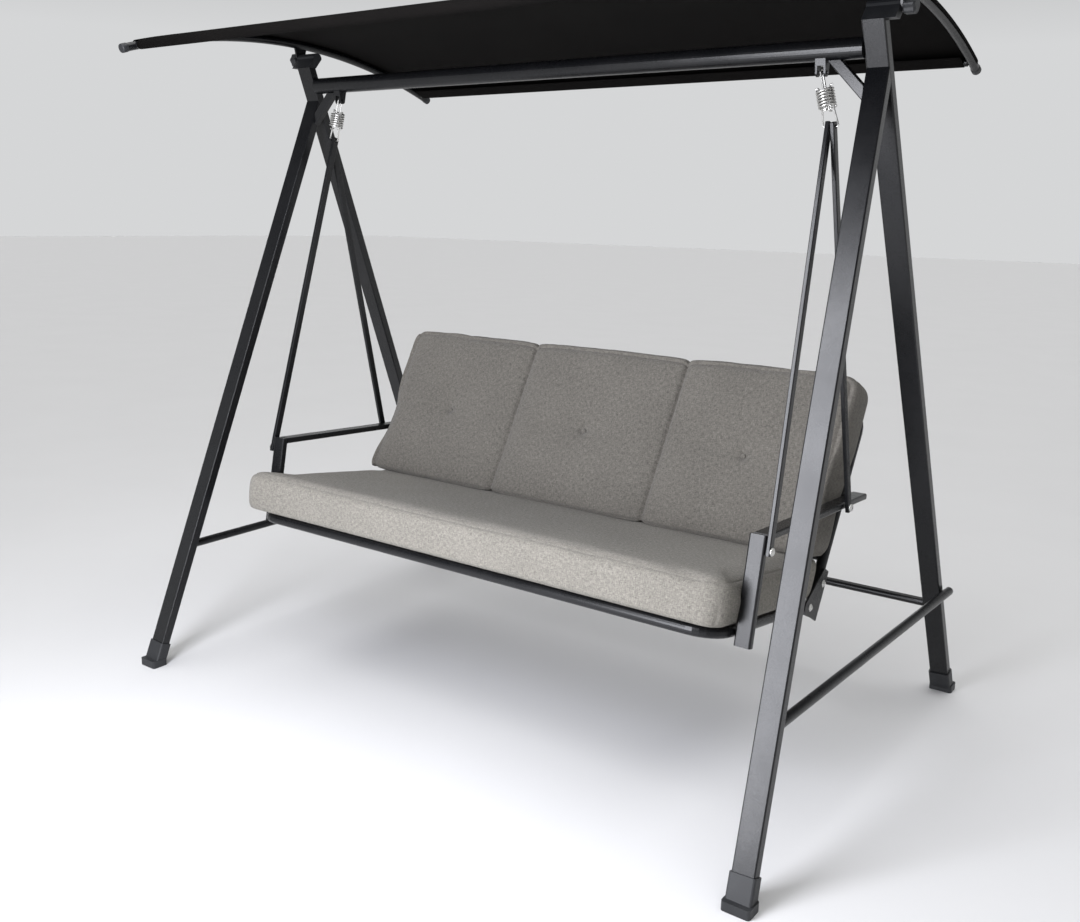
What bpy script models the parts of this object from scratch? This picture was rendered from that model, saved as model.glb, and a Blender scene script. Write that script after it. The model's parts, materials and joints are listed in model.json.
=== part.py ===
# Canopy swing bench: a three-place seat hung between two A-frames, with a tilting canopy.
# Units are metres. Seen from the front, +X is to the right. +Y is the back and +Z is up.
# The floor is at Z = 0 and the middle of the base is at X = Y = 0.
import math

import bmesh
import bpy
from mathutils import Matrix, Vector

GAP = 0.0004

# A-frames
FRAME_HALF_WIDTH = 0.900
FRAME_LEAN = 0.0512
FOOT_HALF_DEPTH = 0.627
FRONT_SLOPE = 0.3705
REAR_SLOPE = -0.4358
LEG_WIDTH = 0.048
LEG_DEPTH = 0.0250
LEG_BOTTOM = 0.0085
LEG_TOP = 1.640

# Feet
FOOT_WIDTH = 0.060
FOOT_DEPTH = 0.044
FOOT_BASE_HEIGHT = 0.020
FOOT_SLEEVE_TOP = 0.062
FOOT_WALL = 0.0035

# Members between the legs
BEAM_RADIUS = 0.0212
BEAM_Z = 1.593
APEX_Y = -0.067
BRACE_RADIUS = 0.011
BRACE_Z = 0.320
CROSSBAR_RADIUS = 0.011
CROSSBAR_Z = 0.277
GUSSET_WIDTH = 0.022
GUSSET_DEPTH = 0.020
GUSSET_TOP_X = 0.7335
GUSSET_FOOT_Z = 1.505

# Spring hangers
PIN_X = 0.705
PIN_Z = 1.550
PIN_RADIUS = 0.0035
CHEEK_THICKNESS = 0.004
CHEEK_OFFSET = 0.009
BAR_EYE_X = 0.7335
BAR_EYE_Z = 1.443
WIRE_RADIUS = 0.0020
COIL_WIRE_RADIUS = 0.0022
COIL_RADIUS = 0.0172
COIL_TURNS = 6.5
COIL_START = 0.0335
COIL_END = 0.0725

# Hanger bars
BAR_THICKNESS = 0.0098
BAR_WIDTH = 0.019
BAR_FOOT_X = 0.7632
FRONT_BAR_FOOT_Y = -0.292
FRONT_BAR_FOOT_Z = 0.588
REAR_BAR_FOOT_Y = 0.148
REAR_BAR_FOOT_Z = 0.592

# Arms
ARM_INNER_X = 0.7172
ARM_OUTER_X = 0.7552
ARM_THICKNESS = 0.015
ARM_FRONT_Y = -0.277
ARM_FRONT_Z = 0.611
ARM_REAR_Y = 0.293
ARM_REAR_Z = 0.588
POST_DEPTH = 0.018
POST_TOP_Y = -0.2865
POST_TOP_Z = 0.619
POST_BOTTOM_Y = -0.330
POST_BOTTOM_Z = 0.384

# Seat unit
RAIL_RADIUS = 0.0130
RAIL_HALF_WIDTH = 0.7035
RAIL_CORNER = 0.065
SEAT_FRONT_Y = -0.394
SEAT_FRONT_Z = 0.420
SEAT_REAR_Y = 0.111
SEAT_REAR_Z = 0.347
BACK_RECLINE = math.radians(29.5)
BACK_LENGTH = 0.515
CUSHION_HALF_WIDTH = 0.7155
SEAT_CUSHION_THICKNESS = 0.102
SEAT_CUSHION_OVERHANG = 0.025
BACK_CUSHION_THICKNESS = 0.118
BACK_CUSHION_TOP = 0.545
CUSHION_ROUND = 0.022
BUTTON_RADIUS = 0.012
BUTTON_X = 0.4825
BUTTON_HEIGHT = 0.305

# Canopy
CANOPY_HALF_WIDTH = 0.863
CANOPY_TUBE_RADIUS = 0.0100
CANOPY_BAR_RADIUS = 0.0090
CANOPY_FRONT_TIP = (-0.640, 1.627)
CANOPY_REAR_TIP = (0.471, 1.606)
CANOPY_RISE = 0.090
CANOPY_BAR_INSET = 0.042
CANOPY_FABRIC_THICKNESS = 0.003
CANOPY_FABRIC_CLEARANCE = 0.0016
PIVOT_Z = 1.667
LUG_THICKNESS = 0.005
KNOB_RADIUS = 0.019
KNOB_WIDTH = 0.024
STEM_RADIUS = 0.004

POWDER_COAT = ((0.045, 0.047, 0.052, 1.0), 0.42, 0.30)
ZINC = ((0.62, 0.62, 0.60, 1.0), 0.35, 0.90)
PLASTIC = ((0.060, 0.062, 0.066, 1.0), 0.60, 0.0)
CUSHION_CLOTH = ((0.40, 0.385, 0.36, 1.0), 0.95, 0.0)
CANOPY_CLOTH = ((0.022, 0.019, 0.018, 1.0), 0.90, 0.0)


def clear_scene():
    for item in list(bpy.data.objects):
        bpy.data.objects.remove(item, do_unlink=True)


def give_material(item, look):
    colour, roughness, metallic = look
    material = bpy.data.materials.new(item.name)
    material.use_nodes = True
    shader = material.node_tree.nodes["Principled BSDF"]
    shader.inputs["Base Color"].default_value = colour
    shader.inputs["Roughness"].default_value = roughness
    shader.inputs["Metallic"].default_value = metallic
    item.data.materials.clear()
    item.data.materials.append(material)


def object_from_mesh(name, mesh_builder, look, smooth=True):
    mesh = bpy.data.meshes.new(name)
    bmesh.ops.recalc_face_normals(mesh_builder, faces=mesh_builder.faces)
    mesh_builder.to_mesh(mesh)
    mesh_builder.free()
    item = bpy.data.objects.new(name, mesh)
    bpy.context.collection.objects.link(item)
    if look is not None:
        give_material(item, look)
    if smooth:
        mesh.polygons.foreach_set("use_smooth", [True] * len(mesh.polygons))
        mesh.set_sharp_from_angle(angle=math.radians(35))
    return item


def skin_rings(builder, rings, closed):
    count = len(rings[0])
    vertex_rings = [[builder.verts.new(point) for point in ring] for ring in rings]
    steps = len(rings) if closed else len(rings) - 1
    for step in range(steps):
        ring_a = vertex_rings[step]
        ring_b = vertex_rings[(step + 1) % len(rings)]
        for k in range(count):
            n = (k + 1) % count
            builder.faces.new((ring_a[k], ring_a[n], ring_b[n], ring_b[k]))
    if not closed:
        builder.faces.new(list(reversed(vertex_rings[0])))
        builder.faces.new(vertex_rings[-1])


def path_directions(path, closed):
    directions = []
    count = len(path)
    for k in range(count):
        before = path[(k - 1) % count] if closed or k > 0 else path[k]
        after = path[(k + 1) % count] if closed or k < count - 1 else path[k]
        directions.append((after - before).normalized())
    return directions


def sweep(name, path, profile, side, look, closed=False):
    """Sweep a flat profile of (side, up) pairs along a path, carrying the side direction along."""
    path = [Vector(point) for point in path]
    directions = path_directions(path, closed)
    side = Vector(side)
    rings = []
    for point, direction in zip(path, directions):
        side = (side - direction * side.dot(direction)).normalized()
        up = direction.cross(side)
        rings.append([point + side * u + up * v for u, v in profile])
    builder = bmesh.new()
    skin_rings(builder, rings, closed)
    return object_from_mesh(name, builder, look)


def round_profile(radius, sides=16):
    turn = math.tau / sides
    return [(radius * math.cos(k * turn), radius * math.sin(k * turn)) for k in range(sides)]


def box_profile(width, height, corner, steps=3):
    points = []
    centres = ((1, 1, 0), (-1, 1, 1), (-1, -1, 2), (1, -1, 3))
    for sign_u, sign_v, quarter in centres:
        for k in range(steps + 1):
            angle = (quarter + k / steps) * math.pi / 2
            u = sign_u * (width / 2 - corner) + corner * math.cos(angle)
            v = sign_v * (height / 2 - corner) + corner * math.sin(angle)
            points.append((u, v))
    return points


def bar(name, start, end, profile, side, look, start_plane=None, end_plane=None):
    """A straight bar whose ends can be cut by planes given as (point, normal)."""
    start = Vector(start)
    end = Vector(end)
    direction = (end - start).normalized()
    side = Vector(side)
    side = (side - direction * side.dot(direction)).normalized()
    up = direction.cross(side)
    rings = []
    for base, plane in ((start, start_plane), (end, end_plane)):
        ring = []
        for u, v in profile:
            point = base + side * u + up * v
            if plane is not None:
                origin, normal = Vector(plane[0]), Vector(plane[1])
                point = point + direction * ((origin - point).dot(normal) / direction.dot(normal))
            ring.append(point)
        rings.append(ring)
    builder = bmesh.new()
    skin_rings(builder, rings, False)
    return object_from_mesh(name, builder, look)


def rounded_path(points, radius, steps=6):
    points = [Vector(point) for point in points]
    path = [points[0]]
    for k in range(1, len(points) - 1):
        into = (points[k] - points[k - 1]).normalized()
        out = (points[k + 1] - points[k]).normalized()
        bend = into.angle(out)
        reach = radius * math.tan(bend / 2)
        start = points[k] - into * reach
        inward = (out - into * out.dot(into)).normalized()
        centre = start + inward * radius
        for n in range(steps + 1):
            angle = bend * n / steps
            path.append(centre - inward * radius * math.cos(angle) + into * radius * math.sin(angle))
    path.append(points[-1])
    return path


def boolean(target, tool, operation):
    tool.hide_render = True
    tool.display_type = "WIRE"
    modifier = target.modifiers.new("cut", "BOOLEAN")
    modifier.operation = operation
    modifier.solver = "EXACT"
    modifier.object = tool
    bpy.context.view_layer.objects.active = target
    bpy.ops.object.modifier_apply(modifier="cut")
    bpy.data.objects.remove(tool, do_unlink=True)


def rod_along_x(name, x_from, x_to, y, z, radius, look=None, sides=24):
    path = [(x_from, y, z), (x_to, y, z)]
    return sweep(name, path, round_profile(radius, sides), (0, 1, 0), look)


def extrude_side_profile(name, outline, x_from, x_to, look):
    builder = bmesh.new()
    rings = [[Vector((x, y, z)) for y, z in outline] for x in (x_from, x_to)]
    skin_rings(builder, rings, False)
    return object_from_mesh(name, builder, look)


def side_name(sign):
    return "right" if sign > 0 else "left"


def leg_centre(which, sign, z):
    x = sign * (FRAME_HALF_WIDTH - FRAME_LEAN * z)
    if which == "front":
        return Vector((x, -FOOT_HALF_DEPTH + FRONT_SLOPE * z, z))
    return Vector((x, FOOT_HALF_DEPTH + REAR_SLOPE * z, z))


def leg_slope(which):
    return FRONT_SLOPE if which == "front" else REAR_SLOPE


def leg_side_x(sign, z, outward):
    """X of a leg's inner (outward=-1) or outer (outward=+1) face at a height."""
    return sign * (FRAME_HALF_WIDTH - FRAME_LEAN * z + outward * LEG_WIDTH / 2)


def rear_leg_front_plane(shift):
    slant = math.sqrt(1 + REAR_SLOPE ** 2)
    point = leg_centre("rear", 1, 1.0) + Vector((0, -slant * (LEG_DEPTH / 2 + shift), 0))
    return point, Vector((0, 1, -REAR_SLOPE)).normalized()


def make_leg(which, sign):
    floor_plane = ((0, 0, LEG_BOTTOM), (0, 0, 1))
    if which == "front":
        end_plane = rear_leg_front_plane(GAP)
        end = leg_centre(which, sign, 1.54)
    else:
        end_plane = ((0, 0, LEG_TOP), (0, 0, 1))
        end = leg_centre(which, sign, LEG_TOP)
    profile = box_profile(LEG_WIDTH, LEG_DEPTH, 0.003)
    name = "leg_%s_%s" % (which, side_name(sign))
    start = leg_centre(which, sign, LEG_BOTTOM)
    return bar(name, start, end, profile, (1, 0, 0), POWDER_COAT, floor_plane, end_plane)


def make_foot(which, sign):
    name = "foot_%s_%s" % (which, side_name(sign))
    base = leg_centre(which, sign, 0.0)
    top = Vector((base.x, base.y, FOOT_BASE_HEIGHT))
    base_profile = box_profile(FOOT_WIDTH, FOOT_DEPTH, 0.006)
    foot = bar(name, base, top, base_profile, (1, 0, 0), PLASTIC)
    sleeve_profile = box_profile(LEG_WIDTH + 2 * FOOT_WALL, LEG_DEPTH + 2 * FOOT_WALL, 0.005)
    low = leg_centre(which, sign, 0.006)
    high = leg_centre(which, sign, FOOT_SLEEVE_TOP)
    low_plane = ((0, 0, 0.006), (0, 0, 1))
    sleeve = bar("sleeve", low, high, sleeve_profile, (1, 0, 0), None, low_plane)
    boolean(foot, sleeve, "UNION")
    cavity_profile = box_profile(LEG_WIDTH + 2 * GAP, LEG_DEPTH + 2 * GAP, 0.003)
    floor = LEG_BOTTOM - GAP
    cavity_plane = ((0, 0, floor), (0, 0, 1))
    cavity_low = leg_centre(which, sign, floor)
    cavity_high = leg_centre(which, sign, 0.12)
    cavity = bar("cavity", cavity_low, cavity_high, cavity_profile, (1, 0, 0), None, cavity_plane)
    boolean(foot, cavity, "DIFFERENCE")
    return foot


def make_cross_beam():
    end = leg_side_x(1, BEAM_Z, -1) - GAP - BEAM_RADIUS * FRAME_LEAN
    return rod_along_x("cross_beam", -end, end, APEX_Y, BEAM_Z, BEAM_RADIUS, POWDER_COAT, 32)


def make_gusset(sign):
    top_z = BEAM_Z - BEAM_RADIUS - GAP
    foot_x = leg_side_x(sign, GUSSET_FOOT_Z, -1) - sign * GAP
    start = (sign * GUSSET_TOP_X, APEX_Y, top_z)
    end = (foot_x, APEX_Y, GUSSET_FOOT_Z)
    leg_plane = ((foot_x, APEX_Y, GUSSET_FOOT_Z), (sign, 0, FRAME_LEAN))
    beam_plane = ((0, 0, top_z), (0, 0, 1))
    profile = box_profile(GUSSET_DEPTH, GUSSET_WIDTH, 0.002)
    name = "gusset_" + side_name(sign)
    return bar(name, start, end, profile, (0, 1, 0), POWDER_COAT, beam_plane, leg_plane)


def make_side_brace(sign):
    front = leg_centre("front", sign, BRACE_Z)
    rear = leg_centre("rear", sign, BRACE_Z)
    slant = math.sqrt(1 + FRONT_SLOPE ** 2)
    face_y = front.y + slant * LEG_DEPTH / 2 + GAP
    face_plane = ((0, face_y, BRACE_Z), (0, 1, -FRONT_SLOPE))
    start = (front.x + sign * 0.010, face_y, BRACE_Z)
    outer_x = leg_side_x(sign, BRACE_Z - BRACE_RADIUS, 1) + sign * (BRACE_RADIUS + 0.0012)
    end = (outer_x, rear.y + 0.022, BRACE_Z)
    name = "side_brace_" + side_name(sign)
    return bar(name, start, end, round_profile(BRACE_RADIUS, 20), (1, 0, 0), POWDER_COAT, face_plane)


def make_rear_crossbar():
    middle = leg_centre("rear", 1, CROSSBAR_Z)
    end = leg_side_x(1, CROSSBAR_Z + CROSSBAR_RADIUS, -1) - GAP
    return rod_along_x("rear_crossbar", -end, end, middle.y, CROSSBAR_Z, CROSSBAR_RADIUS, POWDER_COAT)


def make_hanger_bracket(sign):
    """A clevis under the beam: two cheeks, a saddle between them and the pin that carries the hook."""
    name = "hanger_bracket_" + side_name(sign)
    x = sign * PIN_X
    saddle_top = BEAM_Z - BEAM_RADIUS + 0.006
    half = CHEEK_OFFSET + CHEEK_THICKNESS / 2
    outline = []
    for k in range(13):
        angle = math.pi + math.pi * k / 12
        outline.append((APEX_Y + 0.0085 * math.cos(angle), PIN_Z + 0.0085 * math.sin(angle)))
    outline.append((APEX_Y + 0.014, saddle_top))
    outline.append((APEX_Y - 0.014, saddle_top))
    bracket = extrude_side_profile(name, outline, x - half, x + half, POWDER_COAT)
    slot_half = CHEEK_OFFSET - CHEEK_THICKNESS / 2
    slot_top = PIN_Z + 0.0125
    slot_outline = [(-0.2, PIN_Z - 0.03), (0.1, PIN_Z - 0.03), (0.1, slot_top), (-0.2, slot_top)]
    slot = extrude_side_profile("slot", slot_outline, x - slot_half, x + slot_half, None)
    boolean(bracket, slot, "DIFFERENCE")
    beam = rod_along_x("beam_tool", x - 0.1, x + 0.1, APEX_Y, BEAM_Z, BEAM_RADIUS + GAP, None, 64)
    boolean(bracket, beam, "DIFFERENCE")
    pin = rod_along_x("pin", x - half - 0.003, x + half + 0.003, APEX_Y, PIN_Z, PIN_RADIUS)
    boolean(bracket, pin, "UNION")
    return bracket


def spring_frame(sign):
    """Origin at the hook pin, down the spring's axis, and outwards across it."""
    origin = Vector((sign * PIN_X, APEX_Y, PIN_Z))
    eye = Vector((sign * BAR_EYE_X, APEX_Y, BAR_EYE_Z))
    down = (eye - origin).normalized()
    across = Vector((0, 1, 0)).cross(down)
    return origin, down, across


def make_spring_hook(sign):
    origin, down, _ = spring_frame(sign)
    rearward = Vector((0, 1, 0))
    half = PIN_RADIUS + WIRE_RADIUS + 0.0013
    foot = origin + down * (COIL_END + 0.0048)
    points = [foot - rearward * 0.0185, foot - rearward * half]
    points += [origin - rearward * half - down * half, origin + rearward * half - down * half]
    points += [foot + rearward * half, foot + rearward * 0.0185]
    start = rounded_path(points[:3], 0.0035, 4)[:-1]
    arch = []
    for k in range(13):
        angle = math.pi * k / 12
        arch.append(origin - rearward * half * math.cos(angle) - down * half * math.sin(angle))
    end = rounded_path(points[3:], 0.0035, 4)[1:]
    path = start + arch + end
    name = "spring_hook_" + side_name(sign)
    return sweep(name, path, round_profile(WIRE_RADIUS, 10), (1, 0, 0), ZINC)


def make_spring_coil(sign):
    origin, down, across = spring_frame(sign)
    rearward = Vector((0, 1, 0))
    steps = int(COIL_TURNS * 18)
    path = []
    for k in range(steps + 1):
        angle = math.tau * COIL_TURNS * k / steps
        level = COIL_START + (COIL_END - COIL_START) * k / steps
        offset = across * math.cos(angle) + rearward * math.sin(angle)
        path.append(origin + down * level + offset * COIL_RADIUS)
    name = "spring_coil_" + side_name(sign)
    return sweep(name, path, round_profile(COIL_WIRE_RADIUS, 8), down, ZINC)


def make_spring_loop(sign):
    origin, down, across = spring_frame(sign)
    level = origin + down * (COIL_START - 0.0048)
    low = Vector((sign * BAR_EYE_X, APEX_Y, BAR_EYE_Z))
    points = [level - across * 0.0185, level - across * 0.0125]
    inner = -1 if across.x > 0 else 1
    waist = origin + down * (COIL_END + 0.004)
    points += [waist - across * 0.0125]
    points += [low + Vector((inner * 0.0168, 0, 0)), low - Vector((inner * 0.0168, 0, 0))]
    points += [waist + across * 0.0125]
    points += [level + across * 0.0125, level + across * 0.0185]
    path = rounded_path(points, 0.0030, 5)
    name = "spring_loop_" + side_name(sign)
    return sweep(name, path, round_profile(WIRE_RADIUS, 10), (0, 1, 0), ZINC)


def make_hanger_bar(which, sign):
    name = "hanger_bar_%s_%s" % (which, side_name(sign))
    if which == "front":
        top_x = BAR_EYE_X - 0.0055
        foot = Vector((sign * BAR_FOOT_X, FRONT_BAR_FOOT_Y, FRONT_BAR_FOOT_Z))
    else:
        top_x = BAR_EYE_X + 0.0055
        foot = Vector((sign * BAR_FOOT_X, REAR_BAR_FOOT_Y, REAR_BAR_FOOT_Z))
    eye = Vector((sign * top_x, APEX_Y, BAR_EYE_Z))
    direction = (eye - foot).normalized()
    profile = box_profile(BAR_THICKNESS, BAR_WIDTH, 0.002)
    item = bar(name, foot - direction * 0.010, eye + direction * 0.0085, profile, (1, 0, 0), POWDER_COAT)
    hole = rod_along_x("hole", eye.x - 0.02, eye.x + 0.02, eye.y, eye.z, 0.0046, None, 20)
    boolean(item, hole, "DIFFERENCE")
    return item


def arm_centre_x(sign):
    return sign * (ARM_INNER_X + ARM_OUTER_X) / 2


def make_armrest(sign):
    x = arm_centre_x(sign)
    width = ARM_OUTER_X - ARM_INNER_X
    profile = box_profile(width, ARM_THICKNESS, 0.004)
    start = Vector((x, ARM_FRONT_Y, ARM_FRONT_Z))
    end = Vector((x, ARM_REAR_Y, ARM_REAR_Z))
    lean_y = POST_TOP_Y - POST_BOTTOM_Y
    lean_z = POST_TOP_Z - POST_BOTTOM_Z
    slant = math.hypot(lean_y, lean_z) / lean_z
    face_y = POST_TOP_Y + slant * POST_DEPTH / 2 + GAP
    plane = ((0, face_y, POST_TOP_Z), (0, lean_z, -lean_y))
    return bar("armrest_" + side_name(sign), start, end, profile, (1, 0, 0), POWDER_COAT, plane)


def make_arm_post(sign):
    x = arm_centre_x(sign)
    width = ARM_OUTER_X - ARM_INNER_X
    profile = box_profile(width, POST_DEPTH, 0.004)
    start = (x, POST_BOTTOM_Y, POST_BOTTOM_Z)
    end = (x, POST_TOP_Y, POST_TOP_Z)
    return bar("arm_post_" + side_name(sign), start, end, profile, (1, 0, 0), POWDER_COAT)


def seat_directions():
    along = Vector((0, SEAT_REAR_Y - SEAT_FRONT_Y, SEAT_REAR_Z - SEAT_FRONT_Z)).normalized()
    return along, Vector((0, -along.z, along.y))


def back_directions():
    up = Vector((0, math.sin(BACK_RECLINE), math.cos(BACK_RECLINE)))
    return up, Vector((0, -up.z, up.y))


def seat_point(x, along_by, raised):
    along, normal = seat_directions()
    return Vector((x, SEAT_FRONT_Y, SEAT_FRONT_Z)) + along * along_by + normal * raised


def back_point(x, up_by, forward):
    up, front = back_directions()
    return Vector((x, SEAT_REAR_Y, SEAT_REAR_Z)) + up * up_by + front * forward


def seat_length():
    return math.hypot(SEAT_REAR_Y - SEAT_FRONT_Y, SEAT_REAR_Z - SEAT_FRONT_Z)


def make_seat_frame():
    side = RAIL_HALF_WIDTH
    rear = seat_length() - 0.020
    points = [seat_point(-side, rear, 0), seat_point(-side, 0, 0)]
    points += [seat_point(side, 0, 0), seat_point(side, rear, 0)]
    path = rounded_path(points, RAIL_CORNER, 8)
    frame = sweep("seat_frame", path, round_profile(RAIL_RADIUS, 20), (0, 0, 1), POWDER_COAT)
    low = seat_point(0, rear - 0.045, 0)
    rail = rod_along_x("rear_rail", -side, side, low.y, low.z, 0.0110)
    boolean(frame, rail, "UNION")
    return frame


def make_back_frame():
    side = RAIL_HALF_WIDTH
    points = [back_point(-side, -0.010, 0), back_point(-side, BACK_LENGTH, 0)]
    points += [back_point(side, BACK_LENGTH, 0), back_point(side, -0.010, 0)]
    path = rounded_path(points, RAIL_CORNER, 8)
    frame = sweep("back_frame", path, round_profile(RAIL_RADIUS, 20), (0, 1, 0), POWDER_COAT)
    low = back_point(0, 0.120, 0)
    rail = rod_along_x("low_rail", -side, side, low.y, low.z, 0.0110)
    boolean(frame, rail, "UNION")
    return frame


def make_frame_bracket(sign):
    """The plate outside the rear corner that joins the seat rail to the back tube."""
    x_in = sign * (RAIL_HALF_WIDTH + RAIL_RADIUS + GAP)
    x_out = x_in + sign * 0.004
    corners = [back_point(0, -0.036, 0.017), back_point(0, -0.036, -0.017)]
    corners += [back_point(0, 0.090, -0.015), back_point(0, 0.090, 0.015)]
    corners += [seat_point(0, seat_length() - 0.075, 0.012), seat_point(0, seat_length() - 0.075, -0.014)]
    outline = [(corner.y, corner.z) for corner in corners]
    low, high = min(x_in, x_out), max(x_in, x_out)
    return extrude_side_profile("frame_bracket_" + side_name(sign), outline, low, high, POWDER_COAT)


def make_seat_slat(number, x):
    """A flat strip under the seat cushion, from the front rail to the rear rail."""
    start = seat_point(x, RAIL_RADIUS + GAP, 0.006)
    end = seat_point(x, seat_length() - 0.065 - 0.0110 - GAP, 0.006)
    profile = box_profile(0.030, 0.004, 0.001)
    return bar("seat_slat_%d" % number, start, end, profile, (1, 0, 0), POWDER_COAT)


def make_back_slat(number, x):
    """A flat strip behind the back cushion, from the lower rail to the top of the frame."""
    start = back_point(x, 0.120 + 0.0110 + GAP, 0.006)
    end = back_point(x, BACK_LENGTH - RAIL_RADIUS - GAP, 0.006)
    profile = box_profile(0.030, 0.004, 0.001)
    return bar("back_slat_%d" % number, start, end, profile, (1, 0, 0), POWDER_COAT)


def round_edges(item, width):
    modifier = item.modifiers.new("round", "BEVEL")
    modifier.width = width
    modifier.segments = 3
    modifier.limit_method = "ANGLE"
    modifier.angle_limit = math.radians(30)
    bpy.context.view_layer.objects.active = item
    bpy.ops.object.modifier_apply(modifier="round")
    item.data.polygons.foreach_set("use_smooth", [True] * len(item.data.polygons))
    return item


def crossing(seat_raised, back_forward):
    """Where a line along the seat meets a line along the back, in the Y-Z plane."""
    along, _ = seat_directions()
    up, _ = back_directions()
    a = seat_point(0, 0, seat_raised)
    b = back_point(0, 0, back_forward)
    gap = b - a
    step = (gap.y * up.z - gap.z * up.y) / (along.y * up.z - along.z * up.y)
    return a + along * step


def make_seat_cushion():
    bottom = RAIL_RADIUS + GAP
    top = bottom + SEAT_CUSHION_THICKNESS
    rear = RAIL_RADIUS + 2 * GAP
    corners = [seat_point(0, -SEAT_CUSHION_OVERHANG, bottom), crossing(bottom, rear)]
    corners += [crossing(top, rear), seat_point(0, -SEAT_CUSHION_OVERHANG, top)]
    outline = [(corner.y, corner.z) for corner in corners]
    half = CUSHION_HALF_WIDTH
    item = extrude_side_profile("seat_cushion", outline, -half, half, CUSHION_CLOTH)
    return round_edges(item, CUSHION_ROUND)


def make_back_cushion():
    low = RAIL_RADIUS + GAP + SEAT_CUSHION_THICKNESS + 0.001
    rear = RAIL_RADIUS + GAP
    front = rear + BACK_CUSHION_THICKNESS
    corners = [crossing(low, front), crossing(low, rear)]
    corners += [back_point(0, BACK_CUSHION_TOP, rear), back_point(0, BACK_CUSHION_TOP, front)]
    outline = [(corner.y, corner.z) for corner in corners]
    half = CUSHION_HALF_WIDTH
    item = extrude_side_profile("back_cushion", outline, -half, half, CUSHION_CLOTH)
    return round_edges(item, CUSHION_ROUND)


def make_button(name, x):
    front = RAIL_RADIUS + GAP + BACK_CUSHION_THICKNESS + GAP
    _, outward = back_directions()
    base = back_point(x, BUTTON_HEIGHT, front)
    rings = []
    shape = ((0.0, 1.0), (0.0025, 1.0), (0.0042, 0.85), (0.0052, 0.5))
    up, _ = back_directions()
    for height, scale in shape:
        ring = []
        for k in range(20):
            angle = math.tau * k / 20
            spread = Vector((math.cos(angle), 0, 0)) + up * math.sin(angle)
            ring.append(base + outward * height + spread * BUTTON_RADIUS * scale)
        rings.append(ring)
    builder = bmesh.new()
    skin_rings(builder, rings, False)
    return object_from_mesh(name, builder, CUSHION_CLOTH)


def make_bolt(name, sign, y, z, face_x):
    """A domed bolt head standing on a face whose normal is along X."""
    rings = []
    for out, radius in ((0.0, 0.0095), (0.0012, 0.0095), (0.0035, 0.0080), (0.0050, 0.0045)):
        ring = []
        for k in range(18):
            angle = math.tau * k / 18
            x = sign * (face_x + GAP + out)
            ring.append(Vector((x, y + radius * math.cos(angle), z + radius * math.sin(angle))))
        rings.append(ring)
    builder = bmesh.new()
    skin_rings(builder, rings, False)
    return object_from_mesh(name, builder, ZINC)


def canopy_circle():
    front = Vector((0, CANOPY_FRONT_TIP[0], CANOPY_FRONT_TIP[1]))
    rear = Vector((0, CANOPY_REAR_TIP[0], CANOPY_REAR_TIP[1]))
    chord = rear - front
    half = chord.length / 2
    radius = (half ** 2 + CANOPY_RISE ** 2) / (2 * CANOPY_RISE)
    normal = Vector((0, -chord.z, chord.y)).normalized()
    centre = (front + rear) / 2 - normal * (radius - CANOPY_RISE)
    reach = math.asin(half / radius)
    middle = math.atan2(normal.y, normal.z)
    return centre, radius, middle, reach


def canopy_point(x, angle, raised):
    """A point on the canopy's arc: angle 0 is its crown, positive angles go back."""
    centre, radius, middle, _ = canopy_circle()
    turn = middle + angle
    r = radius + raised
    return Vector((x, centre.y + r * math.sin(turn), centre.z + r * math.cos(turn)))


def make_canopy_arc(sign):
    _, _, _, reach = canopy_circle()
    x = sign * CANOPY_HALF_WIDTH
    path = [canopy_point(x, -reach + 2 * reach * k / 40, 0) for k in range(41)]
    name = "canopy_arc_" + side_name(sign)
    arc = sweep(name, path, round_profile(CANOPY_TUBE_RADIUS, 16), (1, 0, 0), POWDER_COAT)
    outline = []
    for k in range(13):
        angle = math.pi + math.pi * k / 12
        outline.append((APEX_Y + 0.013 * math.cos(angle), PIVOT_Z + 0.013 * math.sin(angle)))
    outline += [(APEX_Y + 0.022, PIVOT_Z + 0.036), (APEX_Y - 0.022, PIVOT_Z + 0.036)]
    lug_x = x - LUG_THICKNESS / 2
    lug = extrude_side_profile("lug", outline, lug_x, lug_x + LUG_THICKNESS, None)
    hole = rod_along_x("hole", x - 0.03, x + 0.03, APEX_Y, PIVOT_Z, STEM_RADIUS + GAP)
    boolean(lug, hole, "DIFFERENCE")
    boolean(arc, lug, "UNION")
    return arc


def make_canopy_bar(name, place):
    _, radius, _, reach = canopy_circle()
    angle = place * (reach - CANOPY_BAR_INSET / radius)
    middle = canopy_point(0, angle, 0)
    end = CANOPY_HALF_WIDTH - CANOPY_TUBE_RADIUS - GAP
    return rod_along_x(name, -end, end, middle.y, middle.z, CANOPY_BAR_RADIUS, POWDER_COAT)


def make_canopy_fabric():
    _, radius, _, reach = canopy_circle()
    half_angle = reach - (CANOPY_BAR_INSET - 0.014) / radius
    inner = CANOPY_BAR_RADIUS + CANOPY_FABRIC_CLEARANCE
    outer = inner + CANOPY_FABRIC_THICKNESS
    steps = 48
    angles = [-half_angle + 2 * half_angle * k / steps for k in range(steps + 1)]
    outline = [canopy_point(0, angle, outer) for angle in angles]
    outline += [canopy_point(0, angle, inner) for angle in reversed(angles)]
    outline = [(point.y, point.z) for point in outline]
    half = CANOPY_HALF_WIDTH - CANOPY_TUBE_RADIUS - GAP
    return extrude_side_profile("canopy_fabric", outline, -half, half, CANOPY_CLOTH)


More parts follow.
